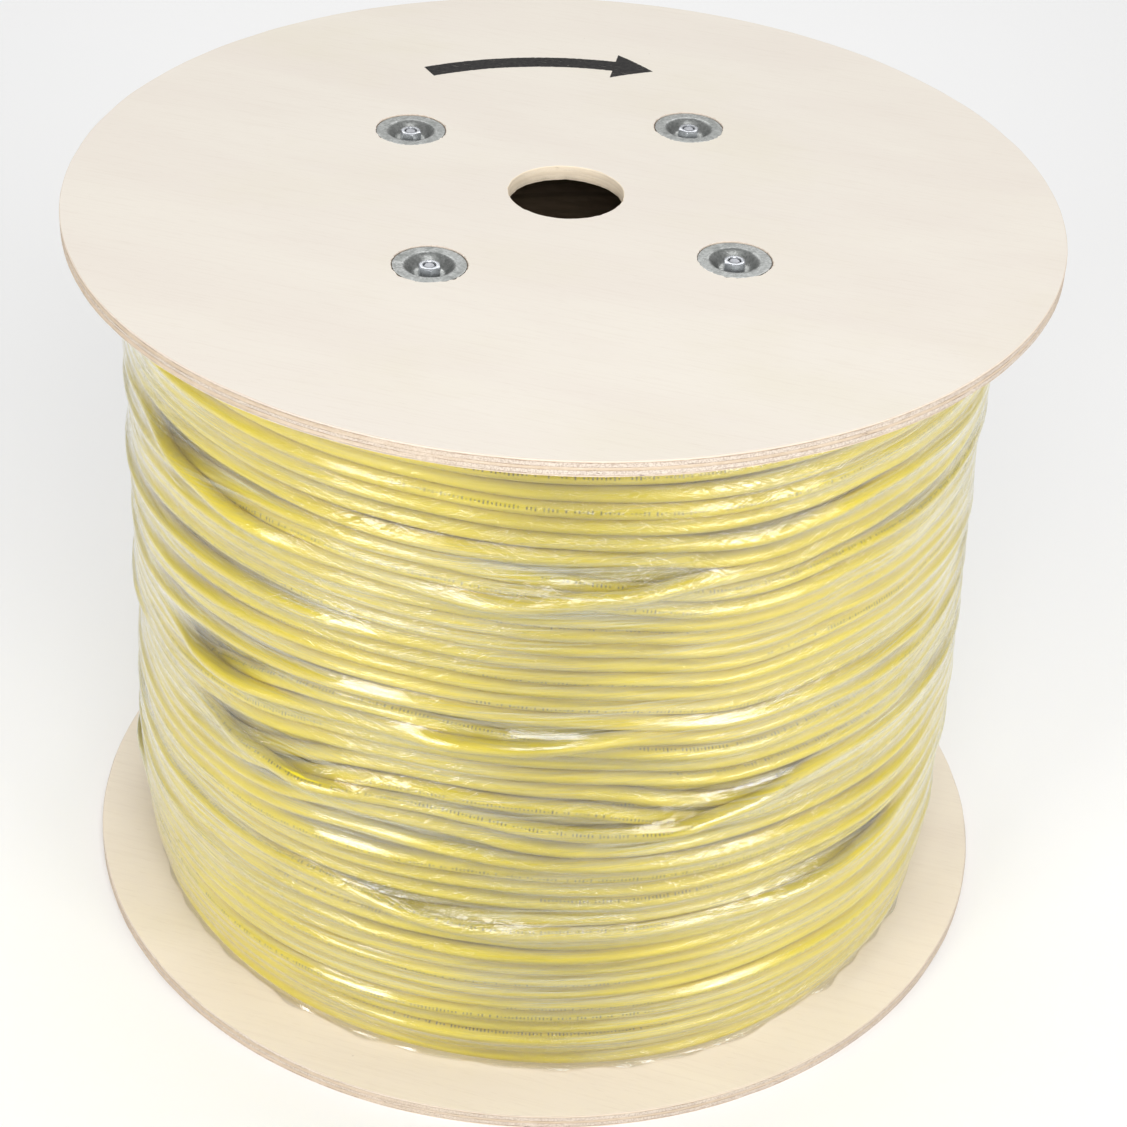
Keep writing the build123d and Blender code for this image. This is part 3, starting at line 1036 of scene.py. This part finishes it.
def add_wrinkles(rng, film, loose, heights, count, long, slope, wide, size):
    """Raised creases in the film: each is a short line with tapered ends."""
    rows, cols = film.shape
    dz, du = heights[1] - heights[0], 2 * pi * WOUND_R / cols
    for _ in range(count):
        half = rng.uniform(*long) / 2
        tilt = radians(rng.uniform(*slope)) * rng.choice((-1, 1))
        width = rng.uniform(*wide)
        tall = rng.uniform(*size)
        row0, col0 = rng.uniform(0, rows), rng.uniform(0, cols)
        bow = rng.normal() * 0.06
        reach_c = int(half * cos(tilt) / du) + 2
        reach_r = int((half * abs(sin(tilt)) + 3 * width) / dz) + 2
        r = np.arange(int(row0) - reach_r, int(row0) + reach_r + 1)
        c = np.arange(int(col0) - reach_c, int(col0) + reach_c + 1)
        r = r[(r >= 0) & (r < rows)]
        u, v = (c - col0)[None, :] * du, (r - row0)[:, None] * dz
        along = u * cos(tilt) + v * sin(tilt)
        across = -u * sin(tilt) + v * cos(tilt) + bow * along**2 / half
        taper = np.clip(1 - (along / half) ** 2, 0, 1) ** 1.5
        bump = tall * taper * np.exp(-((across / width) ** 2))
        where = np.ix_(r, c % cols)
        film[where] += bump * (0.25 + 0.75 * loose[where])


def build_film(layers, material):
    """The film as strips, one above another, cut from one grid."""
    rng = np.random.default_rng(77)
    heights, cable = height_map(layers)
    step = heights[1] - heights[0]
    z = np.linspace(FILM_LOW, FILM_HIGH, FILM_ROWS + 1)
    pick = (z - heights[0]) / step
    left = np.minimum(pick.astype(int), len(heights) - 2)
    share = (pick - left)[:, None]

    def at_rows(surface):
        return surface[left] * (1 - share) + surface[left + 1] * share

    taut = rolled(cable, step, BALL)
    taut = rolled(np.array([hull(row) for row in taut]), step, BALL)
    film = at_rows(taut)
    loose = np.clip((film - at_rows(cable)) / 0.0022, 0, 1)
    film = film + 0.00022
    add_wrinkles(rng, film, loose, z, 1500, (0.02, 0.11), (0, 5), (0.0009, 0.0018), (0.0002, 0.0006))
    add_wrinkles(rng, film, loose, z, 420, (0.012, 0.05), (12, 55), (0.0009, 0.0014), (0.0002, 0.0005))
    for edge in (FILM_LOW, FILM_HIGH):
        near = np.exp(-np.abs(z - edge) / 0.0016)[:, None]
        flare = 0.0022 + 0.0009 * wave(rng, FILM_COLS, 60, 0.2)[None, :]
        film += near * np.clip(flare, 0.0003, 0.006)
    theta = even_angles(FILM_COLS)
    levels = np.broadcast_to(z[:, None], film.shape)
    points = np.stack([film * np.cos(theta), film * np.sin(theta), levels], -1)
    across = np.roll(points, -1, 1) - np.roll(points, 1, 1)
    normals = unit(np.cross(across, np.gradient(points, axis=0)))
    # 0 where the film touches the cable, 1 where it spans a gap, and less again over a deep hollow
    clear = film - at_rows(rolled(cable, step, GAP_BALL))
    gap = np.clip((clear - 0.0008) / 0.0018, 0, 1) - 0.85 * np.clip((clear - 0.0024) / 0.0018, 0, 1)
    per = FILM_ROWS // FILM_PIECES + 1
    for number, start in enumerate(range(0, FILM_ROWS, per)):
        stop = min(start + per, FILM_ROWS)
        part = slice(start, stop + 1)
        verts, faces = points[part].reshape(-1, 3), grid_faces(stop - start + 1, FILM_COLS)
        obj = mesh_object(f"film_{number + 1}", verts, faces, [material], ["stretch_film"])
        obj.data.normals_split_custom_set_from_vertices(normals[part].reshape(-1, 3).tolist())
        obj.data.attributes.new("gap", "FLOAT", "POINT").data.foreach_set("value", gap[part].reshape(-1))


# ---------- printed mark
def build_mark(material):
    """A plain curved arrow stamped on the upper flange, showing which way the reel turns."""
    rng = np.random.default_rng(5)
    m = Mesher()
    middle, half, wing = 0.158, 0.0062, 0.0155
    start, neck, stop = radians(112), radians(74), radians(66)
    z = TOP + 0.00004
    inner, outer = [], []
    for i in range(91):
        a = start + (neck - start) * i / 90
        rough = 0.00012 * rng.normal(size=2)
        inner.append(polar(middle - half + rough[0], a, z))
        outer.append(polar(middle + half + rough[1], a, z))
    m.bridge(m.add(inner), m.add(outer), closed=False)
    sides = []
    for wing_r in (middle - wing, middle + wing):
        row = []
        for i in range(31):
            share = i / 30
            rough = 0.0001 * rng.normal() * (share < 0.97)
            row.append(polar(wing_r + (middle - wing_r) * share + rough, neck + (stop - neck) * share, z))
        sides.append(m.add(row))
    m.bridge(*sides, closed=False)
    mesh_object("turn_arrow", m.verts, m.faces, [material], smooth=False)


# ---------- everything in place
pale_face = plywood_material("plywood_face", (0.875, 0.815, 0.725), (0.835, 0.76, 0.68), (0.84, 0.78, 0.66))
# the lower flange's face: a warmer copy of the veneer, made brighter with painted light
lit_warm_face = plywood_material("plywood_face_warm_lit", (0.92, 0.83, 0.70), (0.87, 0.77, 0.655), (0.87, 0.78, 0.62))
for end, face, level, sign in (("upper", pale_face, TOP, 1), ("lower", lit_warm_face, 0.0, -1)):
    edge = ply_edge_material(f"ply_edge_{end}", level, sign)
    # the arbor hole's wall: the same ply edge, made pale with painted light
    cut = ply_edge_material(f"ply_bore_lit_{end}", level, sign, 0.85)
    build_flange(end, [face, edge, cut])

zinc_cup = zinc_material("galvanised", (0.46, 0.47, 0.46), (0.17, 0.18, 0.17), 0.36, 1100, 0.9)
zinc_nut = zinc_material("bright_zinc", (0.72, 0.74, 0.77), (0.5, 0.52, 0.56), 0.22, 1500, 0.15)
zinc_rod = zinc_material("dull_zinc", (0.5, 0.51, 0.54), (0.33, 0.34, 0.36), 0.42, 1500, 0.25)
for k in range(4):
    build_rod(k, zinc_rod)
    for end in ("upper", "lower"):
        build_washer(end, k, zinc_cup)
        build_nut(end, k, zinc_nut)

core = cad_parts["core_tube"]
core.data.materials.clear()
core.data.materials.append(board_material())

jacket = jacket_material()
under, outer = wind_layers()
for layer, turns, per_piece, sides in (("under", under, 23, 8), ("outer", outer, 12, 12)):
    path = helix_path(*turns)
    last = len(path[0]) - 1
    for number, first in enumerate(range(0, last, per_piece * TURN_STEPS)):
        stop = min(first + per_piece * TURN_STEPS, last)
        build_cable(f"winding_{layer}_{number + 1}", path, first, stop, sides, jacket)
build_end_cap(path, rubber_material())
build_inner_layers(jacket)
build_film([under, outer], film_material())
build_mark(ink_material())

# ---------- floor, light and camera
FLOOR_HALF, FLOOR_Z = 30, -0.0001
floor = bpy.data.meshes.new("floor")
corners = [(FLOOR_HALF * x, FLOOR_HALF * y, FLOOR_Z) for x, y in ((-1, -1), (1, -1), (1, 1), (-1, 1))]
floor.from_pydata(corners, [], [(0, 1, 2, 3)])
ground = bpy.data.objects.new("floor", floor)
scene.collection.objects.link(ground)
white = Graph("floor_white")
white.principled(Base_Color=(0.98, 0.98, 0.98), Roughness=0.9, Specular_IOR_Level=0.1)
floor.materials.append(white.material)

AIM = Vector((0, 0, TOP / 2))
AZIMUTH = -7.611  # the camera's, in degrees


def place_light(name, azimuth, elevation, distance, size, power):
    """A softbox that faces the middle of the reel. Azimuths are counted from the camera's."""
    data = bpy.data.lights.new(name, "AREA")
    data.shape = "RECTANGLE"
    data.size, data.size_y = size
    data.energy = power
    obj = bpy.data.objects.new(name, data)
    a, e = radians(AZIMUTH + azimuth), radians(elevation)
    back = Vector((sin(a) * cos(e), -cos(a) * cos(e), sin(e)))
    obj.location = AIM + back * distance
    obj.rotation_euler = back.to_track_quat("Z", "Y").to_euler()
    scene.collection.objects.link(obj)


place_light("softbox_left", -40, 12, 2.6, (0.95, 1.15), 28)
place_light("softbox_right", 46, 12, 2.6, (0.95, 1.15), 28)
place_light("overhead", 6, 42, 2.2, (1.2, 1.0), 18)
place_light("backdrop", 180, 50, 3.0, (3.2, 1.6), 34)

world = bpy.data.worlds.new("studio")
scene.world = world
world.use_nodes = True
back = world.node_tree.nodes["Background"]
back.inputs["Color"].default_value = (1, 1, 1, 1)
back.inputs["Strength"].default_value = 0.40

lens = bpy.data.cameras.new("camera")
lens.sensor_width = 36
lens.lens = 81.80
lens.shift_x, lens.shift_y = -0.0147, -0.0920
lens.clip_end = 100
camera = bpy.data.objects.new("camera", lens)
camera.location = (-0.1529, -1.1445, 0.9803)
camera.rotation_euler = (radians(57.324), radians(-2.657), radians(-6.619))
scene.collection.objects.link(camera)
bpy.context.scene.camera = camera
scene.view_settings.view_transform = "Standard"
